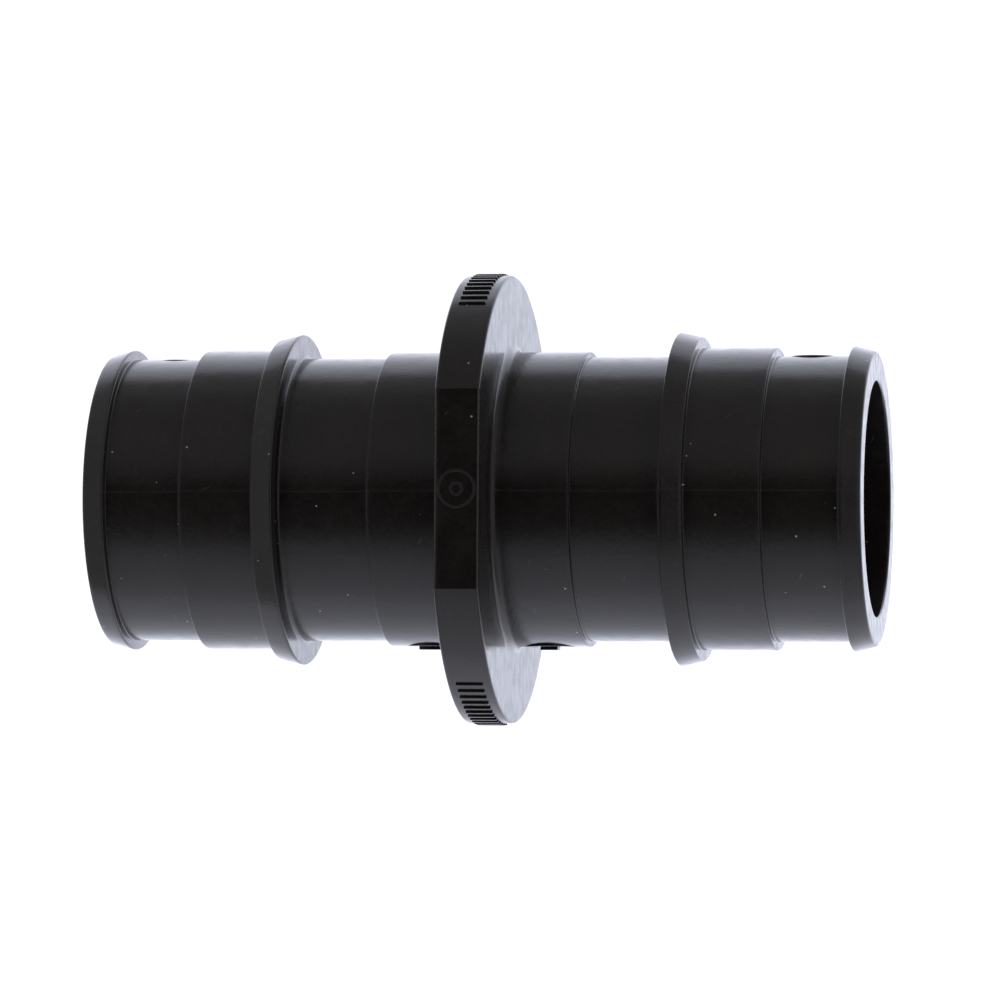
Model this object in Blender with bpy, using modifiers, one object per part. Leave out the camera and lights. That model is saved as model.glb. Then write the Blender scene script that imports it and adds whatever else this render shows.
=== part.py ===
"""Straight insert coupling for expanded plastic pipe, nominal 3/4 inch: one injection-moulded piece.

The bore runs along X and the middle of the stop collar is the origin. Each half is a spigot that a
pipe end closes on, with a tall rib near the collar and a lower one at its mouth, and the two halves
mirror each other. The mould splits in the XZ plane. Where that plane crosses the rim of the collar, at
its top and its bottom, the rim is cut to a flat land, and the coupling lies on the lower one. The
ejector pins work along Y and leave small flat pads on the spigots.
"""

import math

import bmesh
import bpy

MM = 0.001

# Stations along the bore, measured from the middle of the collar
COLLAR_FACE = 1.65 * MM
ROOT_BAND_END = 7.45 * MM
TALL_RIB_FACE = 14.2 * MM
TALL_RIB_BACK = 15.88 * MM
OUTER_BAND_END = 21.45 * MM
END_RIB_FACE = 27.1 * MM
MOUTH = 28.75 * MM

# Radii
BORE_RADIUS = 8.7 * MM
COLLAR_RADIUS = 16.65 * MM
ROOT_BAND_RADIUS = 10.94 * MM
INNER_BARREL_RADIUS = 10.54 * MM
TALL_RIB_CREST = 12.38 * MM
TALL_RIB_BACK_RADIUS = 11.96 * MM
OUTER_BAND_RADIUS = 11.17 * MM
OUTER_BARREL_RADIUS = 10.54 * MM
END_RIB_CREST = 11.29 * MM
MOUTH_RADIUS = 10.84 * MM

COLLAR_FILLET = 0.6 * MM
COLLAR_EDGE_ROUNDING = 0.2 * MM
MOUTH_EDGE_ROUNDING = 0.25 * MM
ARC_SEGMENTS = 3
TURNED_SIDES = 72

# Flat lands cut across the rim of the collar at +Z and -Z
LAND_HEIGHT = 15.0 * MM
TRIM_SIZE = 40.0 * MM

# Ejector pads: name, place along the bore, side (+1 at +Y, -1 at -Y), radius, distance from the bore
EJECTOR_PADS = (
    ("outer_pad_right", 24.0 * MM, 1, 1.85 * MM, OUTER_BARREL_RADIUS - 0.02 * MM),
    ("outer_pad_left", -24.0 * MM, 1, 1.85 * MM, OUTER_BARREL_RADIUS - 0.09 * MM),
    ("root_pad_right", 4.42 * MM, -1, 1.9 * MM, ROOT_BAND_RADIUS + 0.01 * MM),
    ("root_pad_left", -4.42 * MM, -1, 1.9 * MM, ROOT_BAND_RADIUS + 0.01 * MM),
)
PAD_ROOT = 9.3 * MM
PAD_SIDES = 32

PLASTIC_COLOUR = (0.012, 0.0115, 0.0125, 1.0)
PLASTIC_ROUGHNESS = 0.32


def clear_scene():
    for obj in list(bpy.data.objects):
        bpy.data.objects.remove(obj, do_unlink=True)


def new_collection(name):
    collection = bpy.data.collections.new(name)
    bpy.context.scene.collection.children.link(collection)
    return collection


def add_object(name, shape, collection):
    """A new object from a bmesh, which is freed."""
    mesh = bpy.data.meshes.new(name)
    shape.to_mesh(mesh)
    shape.free()
    obj = bpy.data.objects.new(name, mesh)
    collection.objects.link(obj)
    return obj


def add_guide(name, shape, collection):
    guide = add_object(name, shape, collection)
    guide.hide_render = True
    guide.display_type = "WIRE"
    return guide


def arc(centre, radius, start, end):
    """Points of a round edge or fillet in the (along, radial) plane, angles in degrees."""
    points = []
    for step in range(ARC_SEGMENTS + 1):
        angle = math.radians(start + (end - start) * step / ARC_SEGMENTS)
        points.append((centre[0] + radius * math.cos(angle), centre[1] + radius * math.sin(angle)))
    return points


def spigot_outline():
    """Outer side of the half at +X as (along, radius), from the bore's mouth to the collar's rim."""
    outline = [(MOUTH, BORE_RADIUS)]
    mouth_centre = (MOUTH - MOUTH_EDGE_ROUNDING, MOUTH_RADIUS - MOUTH_EDGE_ROUNDING)
    outline += arc(mouth_centre, MOUTH_EDGE_ROUNDING, 0, 90)
    outline += [
        (END_RIB_FACE, END_RIB_CREST),
        (END_RIB_FACE, OUTER_BARREL_RADIUS),
        (OUTER_BAND_END, OUTER_BARREL_RADIUS),
        (OUTER_BAND_END, OUTER_BAND_RADIUS),
        (TALL_RIB_BACK, OUTER_BAND_RADIUS),
        (TALL_RIB_BACK, TALL_RIB_BACK_RADIUS),
        (TALL_RIB_FACE, TALL_RIB_CREST),
        (TALL_RIB_FACE, INNER_BARREL_RADIUS),
        (ROOT_BAND_END, INNER_BARREL_RADIUS),
        (ROOT_BAND_END, ROOT_BAND_RADIUS),
    ]
    fillet_centre = (COLLAR_FACE + COLLAR_FILLET, ROOT_BAND_RADIUS + COLLAR_FILLET)
    outline += arc(fillet_centre, COLLAR_FILLET, 270, 180)
    edge_centre = (COLLAR_FACE - COLLAR_EDGE_ROUNDING, COLLAR_RADIUS - COLLAR_EDGE_ROUNDING)
    outline += arc(edge_centre, COLLAR_EDGE_ROUNDING, 0, 90)
    return outline


def turned_body(collection):
    """Both spigots, the collar and the bore, turned about local Z, which then lies along X."""
    right_half = spigot_outline()
    left_half = [(-along, radius) for along, radius in reversed(right_half)]
    outline = right_half + left_half
    sketch = bmesh.new()
    corners = [sketch.verts.new((radius, 0.0, along)) for along, radius in outline]
    for first, second in zip(corners, corners[1:] + corners[:1]):
        sketch.edges.new((first, second))
    body = add_object("coupling_body", sketch, collection)
    body.rotation_euler = (0.0, math.radians(90), 0.0)
    screw = body.modifiers.new("turned", "SCREW")
    screw.axis = "Z"
    screw.angle = math.tau
    screw.steps = TURNED_SIDES
    screw.render_steps = TURNED_SIDES
    screw.use_merge_vertices = True
    screw.merge_threshold = 0.000001
    return body


def land_trim(name, side, collection):
    """A block that takes away the rim beyond the upper (side +1) or lower (side -1) land."""
    shape = bmesh.new()
    bmesh.ops.create_cube(shape, size=TRIM_SIZE)
    trim = add_guide(name, shape, collection)
    trim.location = (0.0, 0.0, side * (LAND_HEIGHT + TRIM_SIZE / 2))
    return trim


def ejector_pad(name, along, side, radius, height, collection):
    """A short flat-ended cylinder standing in the spigot's wall, along +Y or -Y."""
    shape = bmesh.new()
    bmesh.ops.create_cone(
        shape,
        cap_ends=True,
        segments=PAD_SIDES,
        radius1=radius,
        radius2=radius,
        depth=height - PAD_ROOT,
    )
    pad = add_guide(name, shape, collection)
    pad.location = (along, side * (height + PAD_ROOT) / 2, 0.0)
    pad.rotation_euler = (math.radians(90), 0.0, 0.0)
    return pad


def combine(body, tool, operation):
    boolean = body.modifiers.new(tool.name, "BOOLEAN")
    boolean.operation = operation
    boolean.object = tool


def plastic():
    material = bpy.data.materials.new("moulded_plastic")
    material.use_nodes = True
    shader = material.node_tree.nodes["Principled BSDF"]
    shader.inputs["Base Color"].default_value = PLASTIC_COLOUR
    shader.inputs["Roughness"].default_value = PLASTIC_ROUGHNESS
    shader.inputs["Metallic"].default_value = 0.0
    return material


def build():
    clear_scene()
    parts = new_collection("insert_coupling")
    guides = new_collection("guides")
    body = turned_body(parts)
    body.data.materials.append(plastic())
    combine(body, land_trim("upper_trim", 1, guides), "DIFFERENCE")
    combine(body, land_trim("lower_trim", -1, guides), "DIFFERENCE")
    for name, along, side, radius, height in EJECTOR_PADS:
        combine(body, ejector_pad(name, along, side, radius, height, guides), "UNION")


build()
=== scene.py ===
"""Looks of the straight insert coupling: its fine moulded surface, black plastic and a plain pale studio.

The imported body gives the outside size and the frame: the bore runs along X, +Z is square to the lands on
the collar, and the coupling lies on the lower land. The surface here is turned from the same outline, with
the roundings, ejector pads, raised marks and parting line that the moulding has.
"""

import math

import bmesh
import bpy
from mathutils import Matrix, Vector


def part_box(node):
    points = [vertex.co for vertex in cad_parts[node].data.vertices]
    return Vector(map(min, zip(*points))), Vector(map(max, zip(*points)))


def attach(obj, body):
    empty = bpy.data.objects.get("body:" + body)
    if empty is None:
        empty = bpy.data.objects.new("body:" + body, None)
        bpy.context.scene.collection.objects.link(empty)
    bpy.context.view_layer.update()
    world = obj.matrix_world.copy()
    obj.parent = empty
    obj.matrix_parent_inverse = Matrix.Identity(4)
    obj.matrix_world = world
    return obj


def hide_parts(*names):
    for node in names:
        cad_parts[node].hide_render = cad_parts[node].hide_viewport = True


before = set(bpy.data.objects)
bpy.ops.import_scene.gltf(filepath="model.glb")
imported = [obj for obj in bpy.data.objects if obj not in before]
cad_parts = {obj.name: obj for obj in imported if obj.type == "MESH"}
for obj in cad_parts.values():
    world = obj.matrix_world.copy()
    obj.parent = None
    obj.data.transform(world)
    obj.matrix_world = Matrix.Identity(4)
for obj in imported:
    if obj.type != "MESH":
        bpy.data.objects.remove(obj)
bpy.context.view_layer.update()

MM = 0.001
BODY_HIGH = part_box("coupling_body")[1]

# Stations along the bore, from the middle of the collar
COLLAR_FACE = 1.65 * MM
ROOT_BAND_END = 7.45 * MM
TALL_RIB_FACE = 14.2 * MM
TALL_RIB_BACK = 15.88 * MM
OUTER_BAND_END = 21.45 * MM
END_RIB_FACE = 27.1 * MM
MOUTH = BODY_HIGH.x

# Radii
BORE_RADIUS = 8.7 * MM
COLLAR_RADIUS = BODY_HIGH.y
ROOT_BAND_RADIUS = 10.94 * MM
INNER_BARREL_RADIUS = 10.54 * MM
TALL_RIB_CREST = 12.38 * MM
TALL_RIB_BACK_RADIUS = 11.96 * MM
OUTER_BAND_RADIUS = 11.17 * MM
OUTER_BARREL_RADIUS = 10.54 * MM
END_RIB_CREST = 11.29 * MM
MOUTH_RADIUS = 10.84 * MM

# Roundings
COLLAR_FILLET = 0.6 * MM
COLLAR_EDGE = 0.2 * MM
MOUTH_EDGE = 0.22 * MM
BORE_EDGE = 0.12 * MM
CREST_EDGE = 0.12 * MM
STEP_EDGE = 0.07 * MM
FOOT = 0.09 * MM
TALL_RIB_FILLET = 0.28 * MM
ARC_STEPS = 5

# Distance beside each rounding of the points that keep the flat between two roundings flat in shading
GUARD = 0.22 * MM

# Lands on the collar, which alone reaches further out than COLLAR_ONLY_RADIUS
LAND_HEIGHT = BODY_HIGH.z
LAND_CORNER = 0.1 * MM
COLLAR_ONLY_RADIUS = 12.6 * MM

# Columns of faces in each quarter of the turned surface, along the land and along the rim
LAND_COLUMNS = 18
RIM_COLUMNS = 44

# The fine line where the mould halves meet
PARTING_HALF_WIDTH = math.radians(0.45)
PARTING_HEIGHT = 0.016 * MM

# Ejector pads: place along the bore, side (+1 at +Y, -1 at -Y), radius, distance from the bore
EJECTOR_PADS = (
    (24.0 * MM, 1, 1.85 * MM, OUTER_BARREL_RADIUS - 0.02 * MM),
    (-24.0 * MM, 1, 1.85 * MM, OUTER_BARREL_RADIUS - 0.09 * MM),
    (4.42 * MM, -1, 1.9 * MM, ROOT_BAND_RADIUS + 0.01 * MM),
    (-4.42 * MM, -1, 1.9 * MM, ROOT_BAND_RADIUS + 0.01 * MM),
)
PAD_ROOT = 9.3 * MM
PAD_EDGE = 0.06 * MM
PAD_SIDES = 64

# Plain raised bars on the rim, in two runs: degrees from the upper land to the first, pitch, count
RIM_BAR_RUNS = ((56.5, 3.1, 12), (-57.0, -3.1, 13))
RIM_BAR_LENGTH = 2.0 * MM
RIM_BAR_WIDTH = 0.24 * MM
RIM_BAR_RISE = 0.15 * MM

# Plain raised blocks on the root pads: place along the bore, length
PAD_BARS = ((4.42 * MM, 1.3 * MM), (-4.42 * MM, 1.9 * MM))
PAD_BAR_WIDTH = 1.3 * MM
PAD_BAR_RISE = 0.26 * MM

# Rounding of every bar, and how deep it reaches into the surface it stands on
BAR_EDGE = 0.05 * MM
BAR_ROOT = 0.3 * MM

# A plain raised ring round a smaller one on the upper land
LAND_RING_RADII = (1.32 * MM, 0.42 * MM)
LAND_RING_HALF_WIDTH = 0.1 * MM
LAND_RING_RISE = 0.05 * MM
LAND_RING_ROOT = 0.2 * MM
LAND_RING_SIDES = 72
LAND_RING_ARC_STEPS = 8

BEVEL_SEGMENTS = 3
SHARP_ANGLE = math.radians(35)

# How far from an edge it is still polished by handling
WEAR_REACH = 0.2 * MM


# ---------------------------------------------------------------- shapes

def arc_at(before, corner, after, radius):
    """Points of the arc that rounds one corner of an outline."""
    corner = Vector(corner)
    towards = (Vector(before) - corner).normalized()
    away = (Vector(after) - corner).normalized()
    half_angle = towards.angle(away) / 2
    centre = corner + (towards + away).normalized() * radius / math.sin(half_angle)
    start = corner + towards * radius / math.tan(half_angle) - centre
    end = corner + away * radius / math.tan(half_angle) - centre
    sweep = start.angle_signed(end)
    return [centre + Matrix.Rotation(-sweep * step / ARC_STEPS, 2) @ start for step in range(ARC_STEPS + 1)]


def rounded_loop(corners):
    """A closed outline of (along, radius, rounding) corners, with points close to each rounding's ends."""
    count = len(corners)
    arcs = []
    for index, (along, radius, rounding) in enumerate(corners):
        before = corners[index - 1][:2]
        after = corners[(index + 1) % count][:2]
        arcs.append(arc_at(before, (along, radius), after, rounding))
    points = []
    for index, arc in enumerate(arcs):
        points += arc
        start = arc[-1]
        end = arcs[(index + 1) % count][0]
        if (end - start).length > 3 * GUARD:
            step = (end - start).normalized() * GUARD
            points += [start + step, end - step]
    return points


def half_corners():
    """Corners of the half at +X, from the bore's mouth to the collar's rim."""
    return [
        (MOUTH, BORE_RADIUS, BORE_EDGE),
        (MOUTH, MOUTH_RADIUS, MOUTH_EDGE),
        (END_RIB_FACE, END_RIB_CREST, CREST_EDGE),
        (END_RIB_FACE, OUTER_BARREL_RADIUS, FOOT),
        (OUTER_BAND_END, OUTER_BARREL_RADIUS, FOOT),
        (OUTER_BAND_END, OUTER_BAND_RADIUS, STEP_EDGE),
        (TALL_RIB_BACK, OUTER_BAND_RADIUS, FOOT),
        (TALL_RIB_BACK, TALL_RIB_BACK_RADIUS, STEP_EDGE),
        (TALL_RIB_FACE, TALL_RIB_CREST, CREST_EDGE),
        (TALL_RIB_FACE, INNER_BARREL_RADIUS, TALL_RIB_FILLET),
        (ROOT_BAND_END, INNER_BARREL_RADIUS, FOOT),
        (ROOT_BAND_END, ROOT_BAND_RADIUS, STEP_EDGE),
        (COLLAR_FACE, ROOT_BAND_RADIUS, COLLAR_FILLET),
        (COLLAR_FACE, COLLAR_RADIUS, COLLAR_EDGE),
    ]


def rim_quarter(inset):
    """A quarter of the collar's outline as (y, z), from the land's middle to the rim's side at +Y."""
    height = LAND_HEIGHT - inset
    radius = COLLAR_RADIUS - inset
    half_width = math.sqrt(radius ** 2 - height ** 2)
    end_angle = math.atan2(half_width, height)
    down_the_rim = (half_width + height, height - half_width)
    corner = arc_at((0.0, height), (half_width, height), down_the_rim, LAND_CORNER)
    points = []
    for share in (0.0, 0.5, 1.0):
        points.append(Vector((height * math.tan(PARTING_HALF_WIDTH) * share, height)))
    first = points[-1].x
    for step in range(1, LAND_COLUMNS):
        points.append(Vector((first + (corner[0].x - first) * step / LAND_COLUMNS, height)))
    points += corner
    rim_start = end_angle + 2 * math.atan2(corner[-1].x - half_width, radius)
    for step in range(1, RIM_COLUMNS + 1):
        angle = rim_start + (math.pi / 2 - rim_start) * step / RIM_COLUMNS
        points.append(Vector((math.sin(angle), math.cos(angle))) * radius)
    return points


def rim_loop(inset):
    """The collar's whole outline, mirrored from the quarter."""
    quarter = rim_quarter(inset)
    half = quarter + [Vector((p.x, -p.y)) for p in reversed(quarter[:-1])]
    return half + [Vector((-p.x, p.y)) for p in reversed(half[1:-1])]


def parting_rise(angle):
    """Height of the fine line left where the mould halves meet, at the top and bottom of the bore."""
    from_line = abs(math.remainder(angle, math.pi))
    return PARTING_HEIGHT * max(0.0, 1.0 - from_line / PARTING_HALF_WIDTH)


def turned_body():
    """Both spigots, the collar with its lands and the bore, as one closed surface."""
    right = half_corners()
    left = [(-along, radius, rounding) for along, radius, rounding in reversed(right)]
    profile = rounded_loop(right + left)
    angles = [math.atan2(p.x, p.y) for p in rim_loop(0.0)]
    shape = bmesh.new()
    rings = []
    for along, radius in profile:
        if radius > COLLAR_ONLY_RADIUS:
            ring = rim_loop(COLLAR_RADIUS - radius)
        else:
            outside = radius > BORE_RADIUS + BORE_EDGE
            ring = []
            for angle in angles:
                reach = radius + (parting_rise(angle) if outside else 0.0)
                ring.append(Vector((math.sin(angle), math.cos(angle))) * reach)
        rings.append([shape.verts.new((along, p.x, p.y)) for p in ring])
    for ring, next_ring in zip(rings, rings[1:] + rings[:1]):
        for index in range(len(ring)):
            after = (index + 1) % len(ring)
            shape.faces.new((ring[index], next_ring[index], next_ring[after], ring[after]))
    bmesh.ops.recalc_face_normals(shape, faces=shape.faces)
    return shape


def mesh_object(name, shape):
    """A new object from a bmesh, which is freed."""
    mesh = bpy.data.meshes.new(name)
    shape.to_mesh(mesh)
    shape.free()
    obj = bpy.data.objects.new(name, mesh)
    bpy.context.scene.collection.objects.link(obj)
    return obj


def bevel(shape, edges, width):
    """Rounds some of the shape's edges."""
    bmesh.ops.bevel(
        shape, geom=edges, offset=width, segments=BEVEL_SEGMENTS, profile=0.5, affect="EDGES")


def round_pad(along, side, radius, height):
    """The flat round end that an ejector pin leaves, standing in the spigot's wall."""
    shape = bmesh.new()
    bmesh.ops.create_cone(
        shape, cap_ends=True, segments=PAD_SIDES, radius1=radius, radius2=radius, depth=height - PAD_ROOT)
    rim = [edge for edge in shape.edges if all(vertex.co.z > 0.0 for vertex in edge.verts)]
    bevel(shape, rim, PAD_EDGE)
    pad = mesh_object("pad", shape)
    pad.matrix_world = (Matrix.Translation((along, side * (height + PAD_ROOT) / 2, 0.0))
                        @ Matrix.Rotation(-side * math.pi / 2, 4, "X"))
    return pad


def raised_bar(length, width, rise, place):
    """A bar along X with softened edges, its top at the rise above the place it is put."""
    shape = bmesh.new()
    bmesh.ops.create_cube(shape, size=1.0)
    bmesh.ops.scale(shape, vec=(length, width, rise + BAR_ROOT), verts=shape.verts)
    bmesh.ops.translate(shape, vec=(0.0, 0.0, (rise - BAR_ROOT) / 2), verts=shape.verts)
    bevel(shape, list(shape.edges), BAR_EDGE)
    bar = mesh_object("bar", shape)
    bar.matrix_world = place
    return bar


def rim_bar(degrees):
    """A bar across the rim, so many degrees from the upper land towards +Y."""
    place = Matrix.Rotation(math.radians(-degrees), 4, "X") @ Matrix.Translation((0.0, 0.0, COLLAR_RADIUS))
    return raised_bar(RIM_BAR_LENGTH, RIM_BAR_WIDTH, RIM_BAR_RISE, place)


def pad_bar(along, length):
    """A bar on a root pad, standing out towards -Y."""
    place = Matrix.Translation((along, -ROOT_BAND_RADIUS, 0.0)) @ Matrix.Rotation(math.pi / 2, 4, "X")
    return raised_bar(length, PAD_BAR_WIDTH, PAD_BAR_RISE, place)


def land_ring(radius):
    """A low rounded ring on the upper land."""
    half_width = LAND_RING_HALF_WIDTH
    section = [(-half_width, -LAND_RING_ROOT)]
    for step in range(LAND_RING_ARC_STEPS + 1):
        angle = math.pi * step / LAND_RING_ARC_STEPS
        section.append((-half_width * math.cos(angle), LAND_RING_RISE * math.sin(angle)))
    section.append((half_width, -LAND_RING_ROOT))
    shape = bmesh.new()
    rings = []
    for step in range(LAND_RING_SIDES):
        angle = math.tau * step / LAND_RING_SIDES
        ring = []
        for out, up in section:
            reach = radius + out
            point = (reach * math.cos(angle), reach * math.sin(angle), LAND_HEIGHT + up)
            ring.append(shape.verts.new(point))
        rings.append(ring)
    for ring, next_ring in zip(rings, rings[1:] + rings[:1]):
        for index in range(len(section)):
            after = (index + 1) % len(section)
            shape.faces.new((ring[index], ring[after], next_ring[after], next_ring[index]))
    bmesh.ops.recalc_face_normals(shape, faces=shape.faces)
    return mesh_object("land_ring", shape)


def unite(body, name, tools):
    """Joins the tools to the body, and leaves only the body."""
    group = bpy.data.collections.new(name)
    for tool in tools:
        group.objects.link(tool)
    union = body.modifiers.new(name, "BOOLEAN")
    union.operation = "UNION"
    union.solver = "EXACT"
    union.operand_type = "COLLECTION"
    union.collection = group
    bpy.context.view_layer.update()
    depsgraph = bpy.context.evaluated_depsgraph_get()
    joined = bpy.data.meshes.new_from_object(body.evaluated_get(depsgraph))
    body.modifiers.clear()
    body.data = joined
    for tool in tools:
        bpy.data.objects.remove(tool, do_unlink=True)
    bpy.data.collections.remove(group)


def worn_corners():
    """The outline's outward corners as (along, radius), where handling polishes and greys the plastic."""
    corners = half_corners()
    worn = []
    for index, (along, radius, rounding) in enumerate(corners):
        before = corners[index - 1][1] if index else BORE_RADIUS - MM
        after = corners[(index + 1) % len(corners)][1]
        if radius >= before and radius >= after or rounding in (MOUTH_EDGE, BORE_EDGE):
            worn.append(Vector((along, radius)))
    return worn


def mark_wear(mesh):
    """Stores how near each point is to a worn edge, from 0 to 1."""
    corners = worn_corners()
    wear = []
    for vertex in mesh.vertices:
        reach = math.hypot(vertex.co.y, vertex.co.z)
        if reach > COLLAR_ONLY_RADIUS:
            to_rim = COLLAR_RADIUS - reach
            to_land = LAND_HEIGHT - abs(vertex.co.z)
            distance = math.hypot(COLLAR_FACE - abs(vertex.co.x), min(abs(to_rim), abs(to_land)))
        else:
            place = Vector((abs(vertex.co.x), reach))
            distance = min((place - corner).length for corner in corners)
        wear.append(max(0.0, 1.0 - distance / WEAR_REACH))
    attribute = mesh.attributes.new("edge_wear", "FLOAT", "POINT")
    attribute.data.foreach_set("value", wear)


def make_coupling():
    """The whole coupling as one mesh."""
    body = mesh_object("coupling_surface", turned_body())
    unite(body, "pads", [round_pad(*pad) for pad in EJECTOR_PADS])
    marks = [rim_bar(first + pitch * step) for first, pitch, count in RIM_BAR_RUNS for step in range(count)]
    marks += [pad_bar(*bar) for bar in PAD_BARS]
    marks += [land_ring(radius) for radius in LAND_RING_RADII]
    unite(body, "marks", marks)
    mark_wear(body.data)
    body.data.shade_smooth()
    body.data.set_sharp_from_angle(angle=SHARP_ANGLE)
    weighted = body.modifiers.new("weighted_normals", "WEIGHTED_NORMAL")
    weighted.keep_sharp = True
    return body


# ---------------------------------------------------------------- node graphs

class Graph:
    """Short ways to add nodes to a material or world, and to join them."""

    def __init__(self, owner):
        owner.use_nodes = True
        self.nodes = owner.node_tree.nodes
        self.links = owner.node_tree.links

    def plug(self, socket, value):
        """Links an output to the socket, or sets the socket to a value."""
        if isinstance(value, bpy.types.NodeSocket):
            self.links.new(value, socket)
        else:
            socket.default_value = value

    def coordinate(self, kind):
        return self.nodes.new("ShaderNodeTexCoord").outputs[kind]

    def parts(self, vector):
        """The X, Y and Z of a vector, by name."""
        node = self.nodes.new("ShaderNodeSeparateXYZ")
        self.links.new(vector, node.inputs[0])
        return node.outputs

    def maths(self, operation, first, second=0.0):
        node = self.nodes.new("ShaderNodeMath")
        node.operation = operation
        self.plug(node.inputs[0], first)
        self.plug(node.inputs[1], second)
        return node.outputs[0]

    def product(self, first, second):
        return self.maths("MULTIPLY", first, second)

    def ranged(self, value, low, high, new_low, new_high):
        """The value moved from one range to another, and held inside it."""
        node = self.nodes.new("ShaderNodeMapRange")
        self.plug(node.inputs["Value"], value)
        node.inputs["From Min"].default_value = low
        node.inputs["From Max"].default_value = high
        node.inputs["To Min"].default_value = new_low
        node.inputs["To Max"].default_value = new_high
        return node.outputs["Result"]

    def mixed(self, share, first, second):
        """A colour so far from the first to the second."""
        node = self.nodes.new("ShaderNodeMix")
        node.data_type = "RGBA"
        self.plug(node.inputs["Factor"], share)
        self.plug(node.inputs["A"], first)
        self.plug(node.inputs["B"], second)
        return node.outputs["Result"]

    def noise(self, place, scale, detail):
        """Noise from 0 to 1 with features a metre over the scale across."""
        node = self.nodes.new("ShaderNodeTexNoise")
        self.links.new(place, node.inputs["Vector"])
        node.inputs["Scale"].default_value = scale
        node.inputs["Detail"].default_value = detail
        return node.outputs["Fac"]

    def stretched_noise(self, place, scales, detail, turn=(0.0, 0.0, 0.0)):
        """Noise with its own scale along each of three axes, which may be turned."""
        node = self.nodes.new("ShaderNodeMapping")
        node.vector_type = "TEXTURE"
        self.links.new(place, node.inputs["Vector"])
        node.inputs["Rotation"].default_value = turn
        node.inputs["Scale"].default_value = [1.0 / scale for scale in scales]
        return self.noise(node.outputs["Vector"], 1.0, detail)

    def bumped(self, height, depth, normal=None):
        """The normal, after the height has been laid over it."""
        node = self.nodes.new("ShaderNodeBump")
        self.links.new(height, node.inputs["Height"])
        node.inputs["Distance"].default_value = depth
        if normal:
            self.links.new(normal, node.inputs["Normal"])
        return node.outputs["Normal"]

    def ramp(self, value, stops):
        """A smooth run of light, given as (value, level, tint) stops."""
        low = stops[0][0]
        high = stops[-1][0]
        node = self.nodes.new("ShaderNodeValToRGB")
        self.links.new(self.ranged(value, low, high, 0.0, 1.0), node.inputs["Fac"])
        elements = node.color_ramp.elements
        for index, (at, level, tint) in enumerate(stops):
            if index == 0:
                element = elements[0]
            elif index == len(stops) - 1:
                element = elements[-1]
            else:
                element = elements.new((at - low) / (high - low))
            element.position = (at - low) / (high - low)
            element.color = (level * tint[0], level * tint[1], level * tint[2], 1.0)
        return node.outputs["Color"]

    def seen_directly(self):
        """1 where the camera looks straight at the surface, 0 in reflections."""
        return self.nodes.new("ShaderNodeLightPath").outputs["Is Camera Ray"]


# ---------------------------------------------------------------- plastic

# Features to the metre
GRAIN_SCALE = 5200.0
MOTTLE_SCALE = 2600.0
PATCH_SCALE = 900.0
DUST_SCALE = 650.0
FLOW_SCALE = 320.0
TOOL_LINE_SCALES = (300.0, 160.0, 2600.0)
SCRATCH_SCALES = (600.0, 600.0, 9000.0)

# Scratches and dust
SCRATCH_TURN = (0.9, 0.5, 0.4)
SCRATCH_LEVEL = 0.88
DUST_REACH = 0.05
DUST_LEVEL = 0.35

# Heights of the relief
FLOW_DEPTH = 0.03 * MM
TOOL_LINE_DEPTH = 0.0018 * MM
MOTTLE_DEPTH = 0.004 * MM
GRAIN_DEPTH = 0.005 * MM

DARK_FLOW = (0.0140, 0.0118, 0.0103, 1.0)
PALE_FLOW = (0.0195, 0.0162, 0.0142, 1.0)
MOTTLE_COLOUR = (0.006, 0.005, 0.0045, 1.0)
SCRATCH_COLOUR = (0.12, 0.12, 0.12, 1.0)
WORN_COLOUR = (0.03, 0.029, 0.029, 1.0)
DUST_COLOUR = (0.4, 0.4, 0.4, 1.0)


def tool_lines(graph, place):
    """Faint lines from the mould's turned faces, only where the surface faces along the bore."""
    lines = graph.stretched_noise(place, TOOL_LINE_SCALES, 2.0)
    normal = graph.nodes.new("ShaderNodeNewGeometry").outputs["Normal"]
    end_on = graph.ranged(graph.maths("ABSOLUTE", graph.parts(normal)["X"]), 0.9, 0.99, 0.0, 1.0)
    return graph.product(graph.ranged(lines, 0.35, 0.65, 0.0, 1.0), end_on)


def edge_wear(graph, patches):
    """Wear along the outward edges, uneven in patches."""
    stored = graph.nodes.new("ShaderNodeAttribute")
    stored.attribute_name = "edge_wear"
    return graph.product(stored.outputs["Fac"], graph.ranged(patches, 0.35, 0.65, 0.35, 1.0))


def scratches(graph, place):
    """A few short hairlines: the rare peaks of a noise that is drawn out in two directions."""
    drawn_out = graph.stretched_noise(place, SCRATCH_SCALES, 0.0, SCRATCH_TURN)
    return graph.maths("GREATER_THAN", drawn_out, SCRATCH_LEVEL)


def dust(graph, place):
    """Small specks at the middles of some random cells."""
    cells = graph.nodes.new("ShaderNodeTexVoronoi")
    graph.links.new(place, cells.inputs["Vector"])
    cells.inputs["Scale"].default_value = DUST_SCALE
    chance = graph.nodes.new("ShaderNodeSeparateColor")
    graph.links.new(cells.outputs["Color"], chance.inputs[0])
    near = graph.maths("LESS_THAN", cells.outputs["Distance"], DUST_REACH)
    return graph.product(near, graph.maths("GREATER_THAN", chance.outputs[0], DUST_LEVEL))


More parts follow.
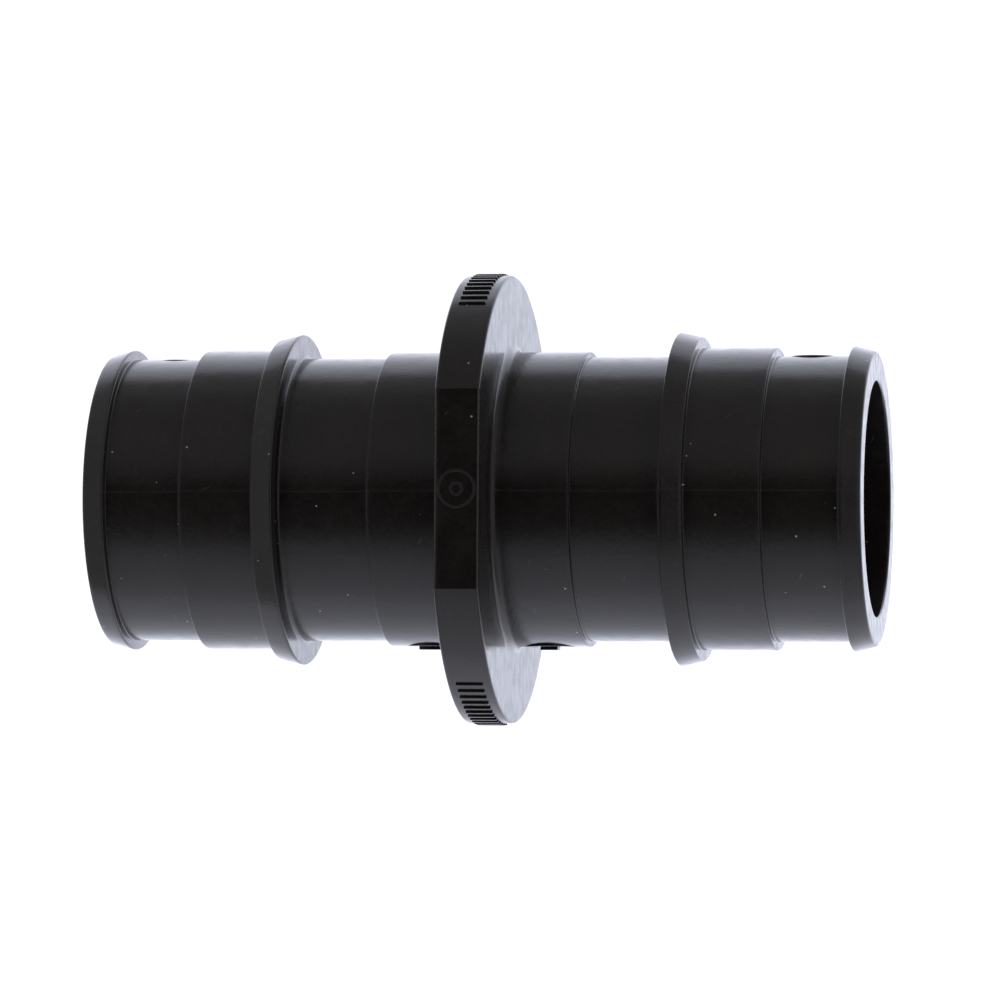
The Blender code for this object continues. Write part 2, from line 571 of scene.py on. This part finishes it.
def moulded_plastic():
    """Black plastic as it leaves the mould: a close grain, faint flow, tool lines, greyed edges and dust."""
    material = bpy.data.materials.new("moulded_plastic")
    graph = Graph(material)
    shader = graph.nodes["Principled BSDF"]
    place = graph.coordinate("Object")
    grain = graph.noise(place, GRAIN_SCALE, 2.0)
    mottle = graph.noise(place, MOTTLE_SCALE, 3.0)
    patches = graph.noise(place, PATCH_SCALE, 3.0)
    flow = graph.noise(place, FLOW_SCALE, 3.0)
    lines = tool_lines(graph, place)
    wear = edge_wear(graph, patches)

    colour = graph.mixed(graph.ranged(flow, 0.3, 0.7, 0.0, 1.0), DARK_FLOW, PALE_FLOW)
    colour = graph.mixed(graph.ranged(mottle, 0.35, 0.65, 0.0, 0.45), colour, MOTTLE_COLOUR)
    colour = graph.mixed(graph.product(scratches(graph, place), 0.6), colour, SCRATCH_COLOUR)
    colour = graph.mixed(graph.product(wear, 0.7), colour, WORN_COLOUR)
    colour = graph.mixed(dust(graph, place), colour, DUST_COLOUR)
    graph.plug(shader.inputs["Base Color"], colour)

    rough = graph.ranged(patches, 0.3, 0.7, 0.15, 0.25)
    rough = graph.maths("ADD", rough, graph.product(lines, 0.03))
    rough = graph.maths("ADD", rough, graph.product(wear, 0.06))
    graph.plug(shader.inputs["Roughness"], rough)

    normal = graph.bumped(flow, FLOW_DEPTH)
    normal = graph.bumped(lines, TOOL_LINE_DEPTH, normal)
    normal = graph.bumped(mottle, MOTTLE_DEPTH, normal)
    normal = graph.bumped(grain, GRAIN_DEPTH, normal)
    graph.plug(shader.inputs["Normal"], normal)
    return material


# ---------------------------------------------------------------- studio

FLOOR_RADIUS = 3.0
FLOOR_SIDES = 96
FLOOR_COLOUR = (0.8, 0.8, 0.8, 1.0)
FLOOR_ROUGHNESS = 0.9
FLOOR_SEEN = (0.97, 0.97, 0.97, 1.0)

# How bright the floor looks in reflections, by its place across the coupling in millimetres
COOL = (0.91, 0.95, 1.12)
FLOOR_GLOW = ((-70, 0.85, COOL), (-26, 0.95, COOL), (-15, 1.55, COOL), (22, 1.55, COOL), (30, 1.3, COOL),
              (39, 1.15, COOL), (48, 1.05, COOL), (56, 0.65, COOL), (62, 0.38, COOL), (70, 0.12, COOL),
              (110, 0.09, COOL))

# The light tent by direction in the YZ plane, from the -Y side over the top to the +Y side, in degrees
PALE_BLUE = (0.94, 0.97, 1.1)
NEUTRAL = (1.0, 0.97, 0.97)
TENT = ((-90, 1.0, PALE_BLUE), (-71, 0.8, PALE_BLUE), (-53, 0.64, PALE_BLUE), (-40, 0.38, PALE_BLUE),
        (-32, 0.19, NEUTRAL), (-24, 0.065, NEUTRAL), (-4, 0.03, NEUTRAL), (4, 0.0, NEUTRAL),
        (12, 0.09, NEUTRAL), (28, 0.28, NEUTRAL), (44, 0.3, NEUTRAL), (62, 0.27, NEUTRAL),
        (90, 0.29, NEUTRAL))
TENT_SEEN = (1.1, 1.1, 1.1, 1.0)

# The tent's ends, and how far a direction leans along X where they begin and are complete
TENT_END = (0.43, 0.42, 0.43, 1.0)
TENT_END_BEGINS = 0.28
TENT_END_COMPLETE = 0.5

# The camera is turned towards the right end and leans over the -Y side
CAMERA_TURN = math.radians(10.13)
CAMERA_LEAN = math.radians(3.1)
CAMERA_ROLL = math.radians(-0.09)
CAMERA_DISTANCE = 446.3 * MM
CAMERA_LENS = 215.94
CAMERA_SENSOR = 36.0
AIM_ALONG = 0.53 * MM
AIM_DOWN = 0.03 * MM


def pale_floor():
    """A white floor disc, lit from under its own surface so that it stays even and pale."""
    material = bpy.data.materials.new("pale_floor")
    graph = Graph(material)
    shader = graph.nodes["Principled BSDF"]
    shader.inputs["Base Color"].default_value = FLOOR_COLOUR
    shader.inputs["Roughness"].default_value = FLOOR_ROUGHNESS
    shader.inputs["Specular IOR Level"].default_value = 0.0
    across = graph.maths("DIVIDE", graph.parts(graph.coordinate("Object"))["Y"], MM)
    glow = graph.mixed(graph.seen_directly(), graph.ramp(across, FLOOR_GLOW), FLOOR_SEEN)
    graph.plug(shader.inputs["Emission Color"], glow)
    shader.inputs["Emission Strength"].default_value = 1.0
    return material


def make_floor():
    """The floor that the lower land lies on."""
    shape = bmesh.new()
    bmesh.ops.create_circle(shape, cap_ends=True, radius=FLOOR_RADIUS, segments=FLOOR_SIDES)
    floor = mesh_object("floor", shape)
    floor.location.z = -LAND_HEIGHT
    floor.data.materials.append(pale_floor())


def make_world():
    """A light tent with a dark opening overhead, white to the eye."""
    world = bpy.data.worlds.new("light_tent")
    bpy.context.scene.world = world
    graph = Graph(world)
    direction = graph.parts(graph.coordinate("Generated"))
    tilt = graph.maths("DEGREES", graph.maths("ARCTAN2", direction["Y"], direction["Z"]))
    along = graph.maths("ABSOLUTE", direction["X"])
    end_share = graph.ranged(along, TENT_END_BEGINS, TENT_END_COMPLETE, 0.0, 1.0)
    light = graph.mixed(end_share, graph.ramp(tilt, TENT), TENT_END)
    light = graph.mixed(graph.seen_directly(), light, TENT_SEEN)
    background = graph.nodes["Background"]
    graph.plug(background.inputs["Color"], light)
    background.inputs["Strength"].default_value = 1.0


def make_camera():
    """A long lens over the coupling, square to the lands but for its turn and lean."""
    right = Vector((
        math.cos(CAMERA_TURN),
        math.sin(CAMERA_TURN) * math.sin(CAMERA_LEAN),
        -math.sin(CAMERA_TURN) * math.cos(CAMERA_LEAN),
    ))
    up = Vector((0.0, math.cos(CAMERA_LEAN), math.sin(CAMERA_LEAN)))
    back = right.cross(up)
    target = Vector((AIM_ALONG, 0.0, 0.0)) - up * AIM_DOWN
    facing = Matrix((right, up, back)).transposed().to_4x4() @ Matrix.Rotation(CAMERA_ROLL, 4, "Z")
    data = bpy.data.cameras.new("camera")
    data.sensor_width = CAMERA_SENSOR
    data.lens = CAMERA_LENS
    data.clip_start = 0.05
    data.clip_end = 10.0
    camera = bpy.data.objects.new("camera", data)
    camera.matrix_world = Matrix.Translation(target + back * CAMERA_DISTANCE) @ facing
    bpy.context.scene.collection.objects.link(camera)
    bpy.context.scene.camera = camera


# ---------------------------------------------------------------- scene

make_camera()
make_world()
make_floor()
coupling = make_coupling()
coupling.data.materials.append(moulded_plastic())
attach(coupling, "root")
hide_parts("coupling_body")
bpy.context.scene.view_settings.view_transform = "Standard"
